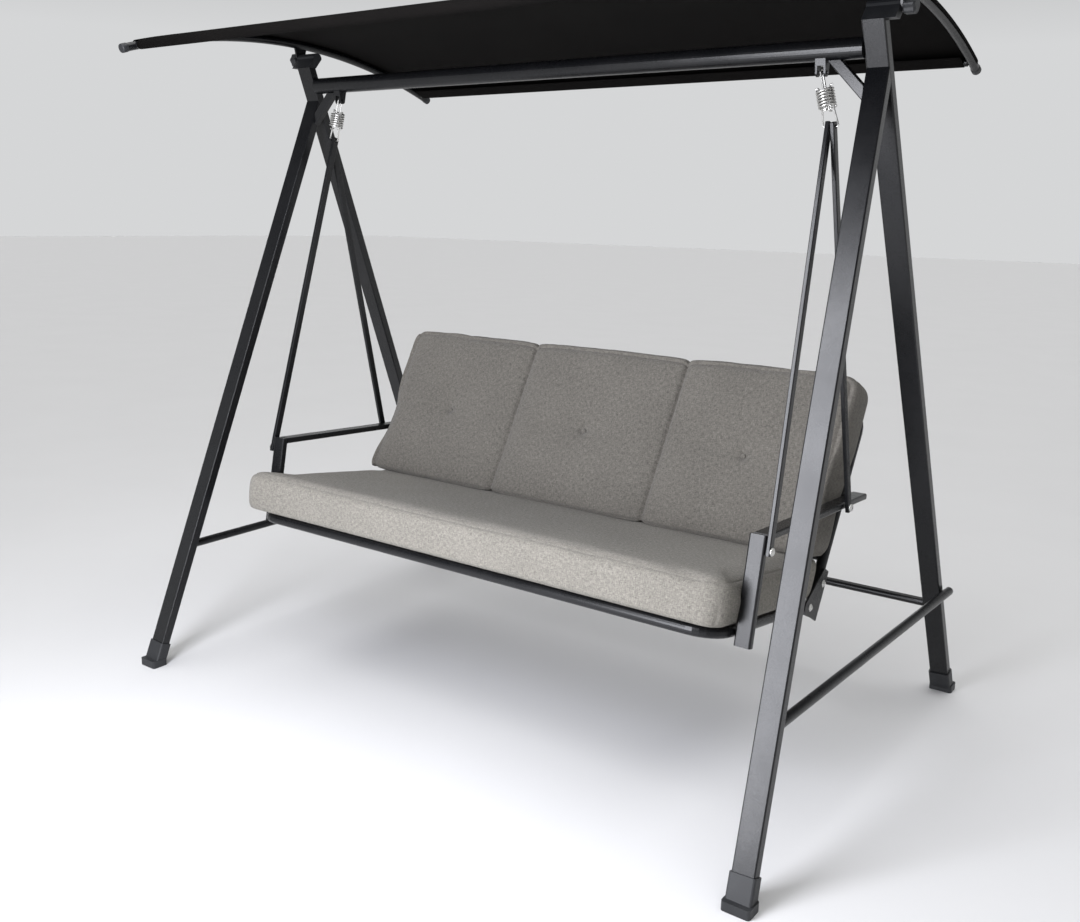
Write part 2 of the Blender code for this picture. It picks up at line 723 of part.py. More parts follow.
def make_canopy_clamp(sign):
    """The plastic head on top of the rear leg: it takes the stem of the canopy knob."""
    slant = math.sqrt(1 + REAR_SLOPE ** 2)
    low_y = leg_centre("rear", sign, LEG_TOP).y
    half = slant * LEG_DEPTH / 2
    base = LEG_TOP + GAP
    outline = [(low_y - half, base), (low_y + half, base)]
    for k in range(9):
        angle = math.pi * k / 8
        outline.append((APEX_Y + 0.015 * math.cos(angle), PIVOT_Z + 0.015 * math.sin(angle)))
    inner = leg_side_x(1, LEG_TOP, -1)
    outer = CANOPY_HALF_WIDTH - LUG_THICKNESS / 2 - GAP
    low, high = sorted((sign * inner, sign * outer))
    name = "canopy_clamp_" + side_name(sign)
    clamp = extrude_side_profile(name, outline, low, high, PLASTIC)
    bore_from = sign * (outer - 0.022)
    bore = rod_along_x("bore", bore_from, sign * (outer + 0.02), APEX_Y, PIVOT_Z, STEM_RADIUS + GAP)
    boolean(clamp, bore, "DIFFERENCE")
    return clamp


def make_knob(sign):
    """A fluted hand knob with the stem that clamps the canopy's lug."""
    inner = CANOPY_HALF_WIDTH + LUG_THICKNESS / 2 + GAP
    rings = []
    for out, scale in ((0.0, 0.90), (0.0015, 1.0), (KNOB_WIDTH - 0.004, 1.0), (KNOB_WIDTH, 0.78)):
        ring = []
        for k in range(60):
            angle = math.tau * k / 60
            radius = KNOB_RADIUS * scale * (0.93 + 0.07 * math.cos(6 * angle))
            y = APEX_Y + radius * math.cos(angle)
            z = PIVOT_Z + radius * math.sin(angle)
            ring.append(Vector((sign * (inner + out), y, z)))
        rings.append(ring)
    builder = bmesh.new()
    skin_rings(builder, rings, False)
    knob = object_from_mesh("knob_" + side_name(sign), builder, PLASTIC)
    stem_from = sign * (inner - LUG_THICKNESS - 0.020)
    stem = rod_along_x("stem", stem_from, sign * (inner + 0.004), APEX_Y, PIVOT_Z, STEM_RADIUS)
    boolean(knob, stem, "UNION")
    return knob


def build_stand():
    for sign in (-1, 1):
        for which in ("front", "rear"):
            make_leg(which, sign)
            make_foot(which, sign)
        make_gusset(sign)
        make_side_brace(sign)
        make_hanger_bracket(sign)
        make_canopy_clamp(sign)
    make_cross_beam()
    make_rear_crossbar()


def build_hangers():
    for sign in (-1, 1):
        make_spring_hook(sign)
        make_spring_coil(sign)
        make_spring_loop(sign)
        make_hanger_bar("front", sign)
        make_hanger_bar("rear", sign)
        face = BAR_FOOT_X + BAR_THICKNESS / 2
        make_bolt("bolt_front_" + side_name(sign), sign, FRONT_BAR_FOOT_Y, FRONT_BAR_FOOT_Z, face)
        make_bolt("bolt_rear_" + side_name(sign), sign, REAR_BAR_FOOT_Y, REAR_BAR_FOOT_Z, face)


def build_seat():
    for sign in (-1, 1):
        make_armrest(sign)
        make_arm_post(sign)
        make_frame_bracket(sign)
    make_seat_frame()
    make_back_frame()
    for number, x in enumerate((-0.35, 0.0, 0.35), 1):
        make_seat_slat(number, x)
    for number, x in enumerate((-0.24, 0.24), 1):
        make_back_slat(number, x)
    make_seat_cushion()
    make_back_cushion()
    make_button("button_left", -BUTTON_X)
    make_button("button_middle", 0.0)
    make_button("button_right", BUTTON_X)


def build_canopy():
    for sign in (-1, 1):
        make_canopy_arc(sign)
        make_knob(sign)
    make_canopy_bar("canopy_bar_front", -1)
    make_canopy_bar("canopy_bar_rear", 1)
    make_canopy_fabric()


clear_scene()
build_stand()
build_hangers()
build_seat()
build_canopy()
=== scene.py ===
# Looks for the canopy swing bench: cushions, canopy cloth, springs, finishes, camera and light.
# Metres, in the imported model's frame: +X right, +Y to the back of the seat, +Z up, floor at Z = 0.
import json
import math

import bmesh
import bpy
import numpy as np
from mathutils import Matrix, Vector, noise


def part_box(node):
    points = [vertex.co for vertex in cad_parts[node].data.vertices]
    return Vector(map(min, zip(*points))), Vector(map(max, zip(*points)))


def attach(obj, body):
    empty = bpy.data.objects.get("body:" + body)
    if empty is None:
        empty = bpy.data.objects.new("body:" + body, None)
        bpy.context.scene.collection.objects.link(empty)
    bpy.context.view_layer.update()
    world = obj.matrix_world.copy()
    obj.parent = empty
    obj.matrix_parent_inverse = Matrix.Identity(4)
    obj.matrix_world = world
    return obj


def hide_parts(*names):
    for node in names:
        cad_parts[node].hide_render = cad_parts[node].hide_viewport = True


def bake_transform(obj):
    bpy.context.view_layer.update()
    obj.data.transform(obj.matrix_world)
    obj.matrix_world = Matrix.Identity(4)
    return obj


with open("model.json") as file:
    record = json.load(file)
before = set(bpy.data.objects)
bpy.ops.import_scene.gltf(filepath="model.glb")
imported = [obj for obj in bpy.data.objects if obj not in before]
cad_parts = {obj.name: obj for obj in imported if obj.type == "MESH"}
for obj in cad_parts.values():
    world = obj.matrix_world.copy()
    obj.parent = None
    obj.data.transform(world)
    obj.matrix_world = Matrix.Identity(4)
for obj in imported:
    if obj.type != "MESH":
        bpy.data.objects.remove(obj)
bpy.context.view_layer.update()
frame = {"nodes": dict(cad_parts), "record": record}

# Camera
CAMERA_PLACE = (1.639, -2.311, 1.252)
CAMERA_YAW = math.radians(35.93)
CAMERA_PITCH = math.radians(12.70)
CAMERA_ROLL = math.radians(1.31)
CAMERA_LENS_MM = 36.38

# Light: the world fades from pale, below one height of the view direction, to dim, above another
WORLD_PALE, WORLD_DIM = 0.68, 0.04
WORLD_PALE_TO, WORLD_DIM_FROM = 0.14, 0.48
KEY_PLACE, KEY_AIM = (0.05, -2.05, 1.32), (0.35, -0.3, 0.85)
KEY_SIZE = (0.82, 2.2)
KEY_RADIANCE, KEY_COLOUR = 15.0, (0.95, 0.965, 1.03)
SKY_STRENGTH, SKY_ANGLE = 2.8, math.radians(70)
FLOOR_REACH = 40.0

# Slopes of the seat and the back, which the cushions follow, and where their frames meet
SEAT_FALL = math.radians(8.225)
BACK_RECLINE = math.radians(29.5)
SEAT_ALONG = Vector((0, math.cos(SEAT_FALL), -math.sin(SEAT_FALL)))
SEAT_UP = Vector((0, math.sin(SEAT_FALL), math.cos(SEAT_FALL)))
BACK_UP = Vector((0, math.sin(BACK_RECLINE), math.cos(BACK_RECLINE)))
BACK_FRONT = Vector((0, -math.cos(BACK_RECLINE), math.sin(BACK_RECLINE)))
FRAME_JOINT = Vector((0, 0.111, 0.347))

# Cushions: the gap to the frame, then the mesh's grid
CLEAR = 0.0015
CELL = 0.012
EDGE_STEPS = (0.0, 0.002, 0.005, 0.010, 0.017, 0.025)
CHANNEL_STEPS = (-0.024, -0.016, -0.010, -0.006, -0.003, 0.0, 0.003, 0.006, 0.010, 0.016, 0.024)
# their upright corners, top edges and under edges
SEAT_ROUNDING = (0.050, 0.027, 0.017)
BACK_ROUNDING = (0.030, 0.022, 0.018)
# their seams, crowns and bulges
SEAM_DEPTH, SEAM_WIDTH, GATHER_DEPTH = 0.0013, 0.0032, 0.0007
SEAT_CROWN, SEAT_SIDE_SWELL = 0.006, 0.005
POST_FRONT = 0.078
LEFT_BULGE, RIGHT_BULGE = 0.048, 0.004
BACK_CROWN, BACK_FACE_DROP = 0.009, 0.002
SIDE_SWELL, TOP_SWELL = 0.012, 0.009
ARM_HALF_HEIGHT, ARM_FADE = 0.015, 0.110
# the back's sewn channels and tufts
CHANNEL_X, CHANNEL_DEPTH = 0.250, 0.016
BUTTON_X, BUTTON_DEPTH, BUTTON_RADIUS = 0.4825, 0.012, 0.0072
STITCH_LENGTH, STITCH_GAP, STITCH_RADIUS = 0.0045, 0.0025, 0.0005
# their inflation
SIM_FRAMES, SIM_PRESSURE, SIM_CAP = 20, 1.5, 0.006

# Canopy cloth: radii at which it wraps the bars and the arcs, measured to its middle
BAR_WRAP, SIDE_WRAP = 0.0100, 0.0112
COVER_DROP = 0.0012
COVER_THICKNESS = 0.0011
HEM_FLAP = 0.032
SIDE_LAP_TURN = 0.62 * math.pi
HEM_INSET = 0.0115
COVER_ROWS, COVER_COLUMNS = 70, 96
COVER_SAG, COVER_RIPPLE, COVER_PULL = 0.006, 0.0018, 0.0016
ARC_TUBE_RADIUS = 0.0100

# Springs: the hook's pin and the loop's eye, then the coil between them
PIN_X, PIN_Z = 0.705, 1.550
EYE_X, EYE_Z = 0.7335, 1.443
COIL_TURNS, COIL_RADIUS, WIRE_RADIUS = 6.5, 0.0172, 0.0022
COIL_TOP, COIL_BOTTOM = 0.0335, 0.0725

# Yarn pitches
HEATHER_PITCH = 0.0012
CANVAS_PITCH = 0.0007


# ---------------------------------------------------------------- node helpers

def new_material(name):
    material = bpy.data.materials.new(name)
    material.use_nodes = True
    tree = material.node_tree
    shader = tree.nodes["Principled BSDF"]
    return material, tree, shader


def plug(tree, socket, value):
    """Feeds a socket from another node's output, or sets it to a constant."""
    if isinstance(value, bpy.types.NodeSocket):
        tree.links.new(value, socket)
    else:
        socket.default_value = value


def math_node(tree, operation, a, b):
    node = tree.nodes.new("ShaderNodeMath")
    node.operation = operation
    plug(tree, node.inputs[0], a)
    plug(tree, node.inputs[1], b)
    return node.outputs[0]


def noise_node(tree, vector, scale, detail=3.0, roughness=0.55, stretch=None):
    if stretch is not None:
        mapping = tree.nodes.new("ShaderNodeMapping")
        mapping.inputs["Scale"].default_value = stretch
        tree.links.new(vector, mapping.inputs["Vector"])
        vector = mapping.outputs["Vector"]
    node = tree.nodes.new("ShaderNodeTexNoise")
    tree.links.new(vector, node.inputs["Vector"])
    node.inputs["Scale"].default_value = scale
    node.inputs["Detail"].default_value = detail
    node.inputs["Roughness"].default_value = roughness
    return node.outputs["Fac"]


def remap(tree, value, low, high, to_low, to_high):
    node = tree.nodes.new("ShaderNodeMapRange")
    plug(tree, node.inputs["Value"], value)
    node.inputs["From Min"].default_value = low
    node.inputs["From Max"].default_value = high
    node.inputs["To Min"].default_value = to_low
    node.inputs["To Max"].default_value = to_high
    return node.outputs["Result"]


def mix_colour(tree, factor, a, b, blend_type="MIX"):
    node = tree.nodes.new("ShaderNodeMix")
    node.data_type = "RGBA"
    node.blend_type = blend_type
    plug(tree, node.inputs[0], factor)
    plug(tree, node.inputs[6], a)
    plug(tree, node.inputs[7], b)
    return node.outputs[2]


def bump(tree, height, distance, strength=1.0, under=None):
    node = tree.nodes.new("ShaderNodeBump")
    node.inputs["Strength"].default_value = strength
    node.inputs["Distance"].default_value = distance
    tree.links.new(height, node.inputs["Height"])
    if under is not None:
        tree.links.new(under, node.inputs["Normal"])
    return node.outputs["Normal"]


def object_coords(tree):
    return tree.nodes.new("ShaderNodeTexCoord").outputs["Object"]


# ---------------------------------------------------------------- materials

def cloth_place(tree):
    """The "cloth" UV map, which is in metres, and its two coordinates."""
    uv = tree.nodes.new("ShaderNodeUVMap")
    uv.uv_map = "cloth"
    split = tree.nodes.new("ShaderNodeSeparateXYZ")
    tree.links.new(uv.outputs["UV"], split.inputs["Vector"])
    return uv.outputs["UV"], split.outputs["X"], split.outputs["Y"]


def plain_weave(tree, u, v, pitch):
    """Height of a plain weave: positive where the warp is over, negative where the weft is."""
    wave_u = math_node(tree, "SINE", math_node(tree, "MULTIPLY", u, math.pi / pitch), 0.0)
    wave_v = math_node(tree, "SINE", math_node(tree, "MULTIPLY", v, math.pi / pitch), 0.0)
    return math_node(tree, "MULTIPLY", wave_u, wave_v)


def grey_tint(tree, value):
    tint = tree.nodes.new("ShaderNodeCombineXYZ")
    for axis in ("X", "Y", "Z"):
        tree.links.new(value, tint.inputs[axis])
    return tint.outputs["Vector"]


def heather_cloth(name, light, dark):
    """Heathered upholstery: each yarn runs through light and dark stretches, in a plain weave."""
    material, tree, shader = new_material(name)
    place, u, v = cloth_place(tree)
    weave = plain_weave(tree, u, v, HEATHER_PITCH)
    over = remap(tree, weave, -0.3, 0.3, 0.0, 1.0)
    warp = noise_node(tree, place, 1.0, 3.0, 0.6, (560.0, 95.0, 1.0))
    weft = noise_node(tree, place, 1.0, 3.0, 0.6, (95.0, 560.0, 1.0))
    warp_shade = remap(tree, warp, 0.30, 0.70, 0.0, 1.0)
    weft_shade = remap(tree, weft, 0.30, 0.70, 0.0, 1.0)
    yarn = tree.nodes.new("ShaderNodeMix")
    yarn.data_type = "FLOAT"
    tree.links.new(over, yarn.inputs[0])
    tree.links.new(weft_shade, yarn.inputs[2])
    tree.links.new(warp_shade, yarn.inputs[3])
    blotch = noise_node(tree, place, 120.0, 4.0, 0.7)
    shade = math_node(tree, "ADD", math_node(tree, "MULTIPLY", yarn.outputs[0], 0.74),
                      math_node(tree, "MULTIPLY", remap(tree, blotch, 0.30, 0.70, 0.0, 1.0), 0.26))
    colour = mix_colour(tree, shade, dark, light)
    broad = remap(tree, noise_node(tree, place, 7.0, 3.0, 0.5), 0.3, 0.7, 0.95, 1.05)
    colour = mix_colour(tree, 1.0, colour, grey_tint(tree, broad), "MULTIPLY")
    tree.links.new(colour, shader.inputs["Base Color"])
    tree.links.new(remap(tree, shade, 0.0, 1.0, 0.98, 0.86), shader.inputs["Roughness"])
    threads = bump(tree, weave, 0.00030)
    tree.links.new(bump(tree, blotch, 0.0007, 0.4, threads), shader.inputs["Normal"])
    shader.inputs["Sheen Weight"].default_value = 0.12
    shader.inputs["Sheen Roughness"].default_value = 0.5
    shader.inputs["Specular IOR Level"].default_value = 0.2
    return material


def canvas_cloth(name, light, dark):
    """Tight outdoor canvas: a fine plain weave, nearly even in colour, with faint weathered clouds."""
    material, tree, shader = new_material(name)
    place, u, v = cloth_place(tree)
    weave = plain_weave(tree, u, v, CANVAS_PITCH)
    slub = noise_node(tree, place, 1.0, 3.0, 0.6, (60.0, 900.0, 1.0))
    cloud = noise_node(tree, place, 5.0, 4.0, 0.55)
    slub_share = math_node(tree, "MULTIPLY", remap(tree, slub, 0.35, 0.65, 0.0, 1.0), 0.5)
    cloud_share = math_node(tree, "MULTIPLY", remap(tree, cloud, 0.3, 0.7, 0.0, 1.0), 0.5)
    shade = math_node(tree, "ADD", slub_share, cloud_share)
    tree.links.new(mix_colour(tree, shade, dark, light), shader.inputs["Base Color"])
    tree.links.new(remap(tree, slub, 0.3, 0.7, 0.80, 0.92), shader.inputs["Roughness"])
    tree.links.new(bump(tree, weave, 0.00022), shader.inputs["Normal"])
    shader.inputs["Specular IOR Level"].default_value = 0.05
    return material


def plain_thread(name, colour):
    material, tree, shader = new_material(name)
    twist = noise_node(tree, object_coords(tree), 1500.0, 2.0, 0.5)
    lighter = tuple(min(1.0, c * 1.5) for c in colour[:3]) + (1,)
    tree.links.new(mix_colour(tree, twist, colour, lighter), shader.inputs["Base Color"])
    tree.links.new(bump(tree, twist, 0.0002, 0.6), shader.inputs["Normal"])
    shader.inputs["Roughness"].default_value = 0.85
    return material


def powder_coat(name, colour, worn):
    """Satin powder coat: fine orange peel, uneven gloss, and faint dusty scuffs."""
    material, tree, shader = new_material(name)
    place = object_coords(tree)
    peel = noise_node(tree, place, 950.0, 2.0, 0.5)
    cloud = noise_node(tree, place, 7.0, 4.0, 0.6)
    scuff = noise_node(tree, place, 34.0, 5.0, 0.7, (1.0, 1.0, 0.35))
    scuff_mask = remap(tree, scuff, 0.60, 0.76, 0.0, 0.35)
    base = mix_colour(tree, scuff_mask, colour, worn)
    base = mix_colour(tree, remap(tree, cloud, 0.35, 0.65, 0.0, 0.22), base, worn)
    tree.links.new(base, shader.inputs["Base Color"])
    gloss = math_node(tree, "ADD", remap(tree, cloud, 0.3, 0.7, 0.24, 0.31),
                      remap(tree, peel, 0.3, 0.7, -0.02, 0.03))
    tree.links.new(gloss, shader.inputs["Roughness"])
    tree.links.new(bump(tree, peel, 0.00012, 0.5), shader.inputs["Normal"])
    shader.inputs["Specular IOR Level"].default_value = 0.38
    return material


def zinc_plate(name):
    material, tree, shader = new_material(name)
    place = object_coords(tree)
    cloud = noise_node(tree, place, 60.0, 4.0, 0.6)
    colour = mix_colour(tree, cloud, (0.50, 0.50, 0.49, 1), (0.80, 0.79, 0.76, 1))
    tree.links.new(colour, shader.inputs["Base Color"])
    tree.links.new(remap(tree, cloud, 0.3, 0.7, 0.22, 0.42), shader.inputs["Roughness"])
    fine = noise_node(tree, place, 1400.0, 2.0, 0.5)
    tree.links.new(bump(tree, fine, 0.00008, 0.4), shader.inputs["Normal"])
    shader.inputs["Metallic"].default_value = 0.95
    return material


def grained_plastic(name):
    material, tree, shader = new_material(name)
    place = object_coords(tree)
    grain = noise_node(tree, place, 1100.0, 3.0, 0.6)
    dust = remap(tree, noise_node(tree, place, 25.0, 5.0, 0.65), 0.45, 0.75, 0.0, 0.5)
    colour = mix_colour(tree, dust, (0.013, 0.014, 0.016, 1), (0.032, 0.033, 0.035, 1))
    tree.links.new(colour, shader.inputs["Base Color"])
    tree.links.new(remap(tree, grain, 0.3, 0.7, 0.42, 0.62), shader.inputs["Roughness"])
    tree.links.new(bump(tree, grain, 0.0002, 0.6), shader.inputs["Normal"])
    return material


# ---------------------------------------------------------------- mesh helpers

def span(node, axis):
    """Lowest and highest place of a CAD node's corners along an axis."""
    axis = np.array(axis)
    places = [np.array(v.co) @ axis for v in frame["nodes"][node].data.vertices]
    return min(places), max(places)


def link_mesh(name, builder, smooth=True):
    mesh = bpy.data.meshes.new(name)
    builder.to_mesh(mesh)
    builder.free()
    item = bpy.data.objects.new(name, mesh)
    bpy.context.collection.objects.link(item)
    if smooth:
        mesh.polygons.foreach_set("use_smooth", [True] * len(mesh.polygons))
    return item


def finish_piece(item, material, body):
    item.data.materials.clear()
    item.data.materials.append(material)
    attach(item, body)


def close_rings(builder, rings):
    """Skins a row of rings of corners and closes both ends."""
    sides = len(rings[0])
    for a, b in zip(rings, rings[1:]):
        for n in range(sides):
            m = (n + 1) % sides
            builder.faces.new((a[n], a[m], b[m], b[n]))
    builder.faces.new(list(reversed(rings[0])))
    builder.faces.new(rings[-1])


def tube(name, path, radius, sides):
    """A round tube along a list of points."""
    builder = bmesh.new()
    rings = []
    side = None
    for k, point in enumerate(path):
        direction = (path[min(k + 1, len(path) - 1)] - path[max(k - 1, 0)]).normalized()
        if side is None:
            side = direction.orthogonal().normalized()
        side = (side - direction * side.dot(direction)).normalized()
        up = direction.cross(side)
        ring = []
        for n in range(sides):
            angle = math.tau * n / sides
            offset = side * math.cos(angle) + up * math.sin(angle)
            ring.append(builder.verts.new(point + offset * radius))
        rings.append(ring)
    close_rings(builder, rings)
    bmesh.ops.recalc_face_normals(builder, faces=builder.faces)
    return link_mesh(name, builder)


# ---------------------------------------------------------------- cushions

def graded_lines(length, extra=()):
    """Grid places from 0 to length: close together at both ends and round each extra line."""
    lines = set()
    for step in EDGE_STEPS:
        lines.add(round(step, 5))
        lines.add(round(length - step, 5))
    for line in extra:
        for step in CHANNEL_STEPS:
            lines.add(round(line + step, 5))
    fixed = list(lines)
    middle = length - 2 * EDGE_STEPS[-1]
    count = max(2, int(round(middle / CELL)))
    for k in range(1, count):
        value = EDGE_STEPS[-1] + middle * k / count
        if all(abs(value - other) > CELL * 0.55 for other in fixed):
            lines.add(round(value, 5))
    return sorted(lines)


def box_grid(xs, bs, cs):
    """The closed surface of a box on three sets of grid lines.
    Gives its points, its quads, each quad's cloth coordinates in metres, and each point's number."""
    index = {}
    points = []

    def at(i, j, k):
        key = (i, j, k)
        if key not in index:
            index[key] = len(points)
            points.append((xs[i], bs[j], cs[k]))
        return index[key]

    nx, nb, nc = len(xs) - 1, len(bs) - 1, len(cs) - 1
    quads, cloth = [], []

    def add(corners, coords):
        quads.append([at(*c) for c in corners])
        cloth.append(coords)

    for i in range(nx):
        for j in range(nb):
            uv = [(xs[a], bs[b]) for a, b in ((i, j), (i + 1, j), (i + 1, j + 1), (i, j + 1))]
            add([(i, j, nc), (i + 1, j, nc), (i + 1, j + 1, nc), (i, j + 1, nc)], uv)
            add([(i, j + 1, 0), (i + 1, j + 1, 0), (i + 1, j, 0), (i, j, 0)], uv[::-1])
        for k in range(nc):
            uv = [(xs[a], cs[c]) for a, c in ((i, k), (i + 1, k), (i + 1, k + 1), (i, k + 1))]
            add([(i, 0, k), (i + 1, 0, k), (i + 1, 0, k + 1), (i, 0, k + 1)], uv)
            add([(i, nb, k + 1), (i + 1, nb, k + 1), (i + 1, nb, k), (i, nb, k)], uv[::-1])
    for j in range(nb):
        for k in range(nc):
            uv = [(bs[b], cs[c]) for b, c in ((j, k), (j + 1, k), (j + 1, k + 1), (j, k + 1))]
            add([(nx, j, k), (nx, j + 1, k), (nx, j + 1, k + 1), (nx, j, k + 1)], uv)
            add([(0, j, k + 1), (0, j + 1, k + 1), (0, j + 1, k), (0, j, k)], uv[::-1])
    return np.array(points), quads, cloth, index


def soften_box(points, size, rounding):
    """Rounds a box's upright corners, top edges and under edges, each to its own radius."""
    corner_radius, top_radius, under_radius = rounding
    plan_size = np.array(size[:2])
    edge_radius = np.where(points[:, 2] > size[2] / 2, top_radius, under_radius)[:, None]
    inner = np.clip(points[:, :2], edge_radius, plan_size - edge_radius)
    out = points[:, :2] - inner
    s = np.abs(out).max(axis=1)
    level = np.clip(points[:, 2], edge_radius[:, 0], size[2] - edge_radius[:, 0])
    t = points[:, 2] - level
    reach = np.hypot(s, t)
    on_flat = (s < 1e-9) | (np.abs(t) < 1e-9)
    scale = np.where(on_flat, 1.0, edge_radius[:, 0] / np.maximum(reach, 1e-9))
    plan = inner + out * scale[:, None]
    height = level + t * scale
    inner = np.clip(plan, corner_radius, plan_size - corner_radius)
    out = plan - inner
    longest = np.abs(out).max(axis=1)
    length = np.hypot(out[:, 0], out[:, 1])
    shrink = np.where(length > 1e-9, longest / np.maximum(length, 1e-9), 1.0)
    plan = inner + out * shrink[:, None]
    return np.column_stack([plan, height])


def cushion_mesh(name, places, quads, cloth):
    mesh = bpy.data.meshes.new(name)
    mesh.from_pydata([tuple(p) for p in places], [], quads)
    layer = mesh.uv_layers.new(name="cloth")
    layer.data.foreach_set("uv", [value for face in cloth for pair in face for value in pair])
    mesh.polygons.foreach_set("use_smooth", [True] * len(mesh.polygons))
    item = bpy.data.objects.new(name, mesh)
    bpy.context.collection.objects.link(item)
    builder = bmesh.new()
    builder.from_mesh(mesh)
    bmesh.ops.recalc_face_normals(builder, faces=builder.faces)
    builder.to_mesh(mesh)
    builder.free()
    return item


def vertex_places(item):
    places = np.empty(len(item.data.vertices) * 3)
    item.data.vertices.foreach_get("co", places)
    return places.reshape(-1, 3)


def vertex_normals(item):
    normals = np.empty(len(item.data.vertices) * 3)
    item.data.vertices.foreach_get("normal", normals)
    return normals.reshape(-1, 3)


def raise_skin(item, height):
    """Moves every point along its normal by a height."""
    places = vertex_places(item) + vertex_normals(item) * np.asarray(height)[:, None]
    item.data.vertices.foreach_set("co", places.ravel())
    item.data.update()


def soft_noise(places, scale, offset):
    """Smooth noise at each place, from about -1 to 1."""
    shift = Vector((offset, 2.3 * offset, 0))
    return np.array([noise.noise(Vector(p) * scale + shift) for p in places])


def inflate(item, pinned):
    """Swells a closed cloth skin from inside, holding the pinned points, and applies the result.
    Each point's move is capped, so the sewn shape isn't flattened."""
    group = item.vertex_groups.new(name="pinned")
    group.add([int(k) for k in pinned], 1.0, "REPLACE")
    cloth = item.modifiers.new("inflate", "CLOTH")
    settings = cloth.settings
    settings.quality = 5
    settings.mass = 0.4
    settings.tension_stiffness = 25
    settings.compression_stiffness = 25
    settings.shear_stiffness = 12
    settings.bending_stiffness = 4
    settings.use_pressure = True
    settings.uniform_pressure_force = SIM_PRESSURE
    settings.effector_weights.gravity = 0.0
    settings.vertex_group_mass = "pinned"
    cloth.collision_settings.use_collision = False
    cloth.point_cache.frame_end = SIM_FRAMES
    scene = bpy.context.scene
    for number in range(1, SIM_FRAMES + 1):
        scene.frame_set(number)
    evaluated = item.evaluated_get(bpy.context.evaluated_depsgraph_get())
    after = np.empty(len(item.data.vertices) * 3)
    evaluated.data.vertices.foreach_get("co", after)
    before = vertex_places(item)
    move = after.reshape(-1, 3) - before
    length = np.linalg.norm(move, axis=1)
    scale = SIM_CAP * np.tanh(length / SIM_CAP) / np.maximum(length, 1e-9)
    item.modifiers.remove(cloth)
    item.vertex_groups.clear()
    item.data.vertices.foreach_set("co", (before + move * scale[:, None]).ravel())
    item.data.update()
    scene.frame_set(1)


def subdivide(item):
    modifier = item.modifiers.new("smooth", "SUBSURF")
    modifier.levels = 1
    modifier.render_levels = 1
    bpy.context.view_layer.objects.active = item
    bpy.ops.object.modifier_apply(modifier="smooth")


def line_crossing(a, along_a, b, along_b):
    """Where two lines in the Y-Z plane meet."""
    gap = b - a
    step = gap.y * along_b.z - gap.z * along_b.y
    step /= along_a.y * along_b.z - along_a.z * along_b.y
    return a + along_a * step


def quad_map(points, size, corners):
    """Carries box points to the cross-section whose corners, in the Y-Z plane, are given as
    (b=0, c=0), (b=1, c=0), (b=1, c=1), (b=0, c=1)."""
    corners = [np.array(corner) for corner in corners]
    b = (points[:, 1] / size[1])[:, None]
    c = (points[:, 2] / size[2])[:, None]
    low = corners[0] * (1 - b) + corners[1] * b
    high = corners[3] * (1 - b) + corners[2] * b
    placed = low * (1 - c) + high * c
    placed[:, 0] = points[:, 0] - size[0] / 2
    return placed


def seam_pull(flat, size, places, offset):
    """How far the two sewn edges of a boxed cushion pull in, with small puckers along them."""
    to_edge = [np.minimum(flat[:, axis], size[axis] - flat[:, axis]) for axis in range(3)]
    away = np.maximum(np.minimum(to_edge[0], to_edge[1]), to_edge[2])
    pucker = 1 + 0.35 * soft_noise(places, 70.0, offset)
    line = SEAM_DEPTH * np.exp(-(away / SEAM_WIDTH) ** 2) * pucker
    gathers = GATHER_DEPTH * np.exp(-away / 0.018) * soft_noise(places, 48.0, offset + 5)
    return line + gathers


def smooth_step(value):
    value = np.clip(value, 0, 1)
    return value * value * (3 - 2 * value)


def front_corner_bulge(places, flat):
    """The seat cushion swells sideways in front of the arm posts, more at its left end."""
    in_front = smooth_step((POST_FRONT - flat[:, 1]) / 0.045)
    left = smooth_step((-0.52 - places[:, 0]) / 0.18)
    right = smooth_step((places[:, 0] - 0.58) / 0.12)
    return in_front * (RIGHT_BULGE * right - LEFT_BULGE * left)


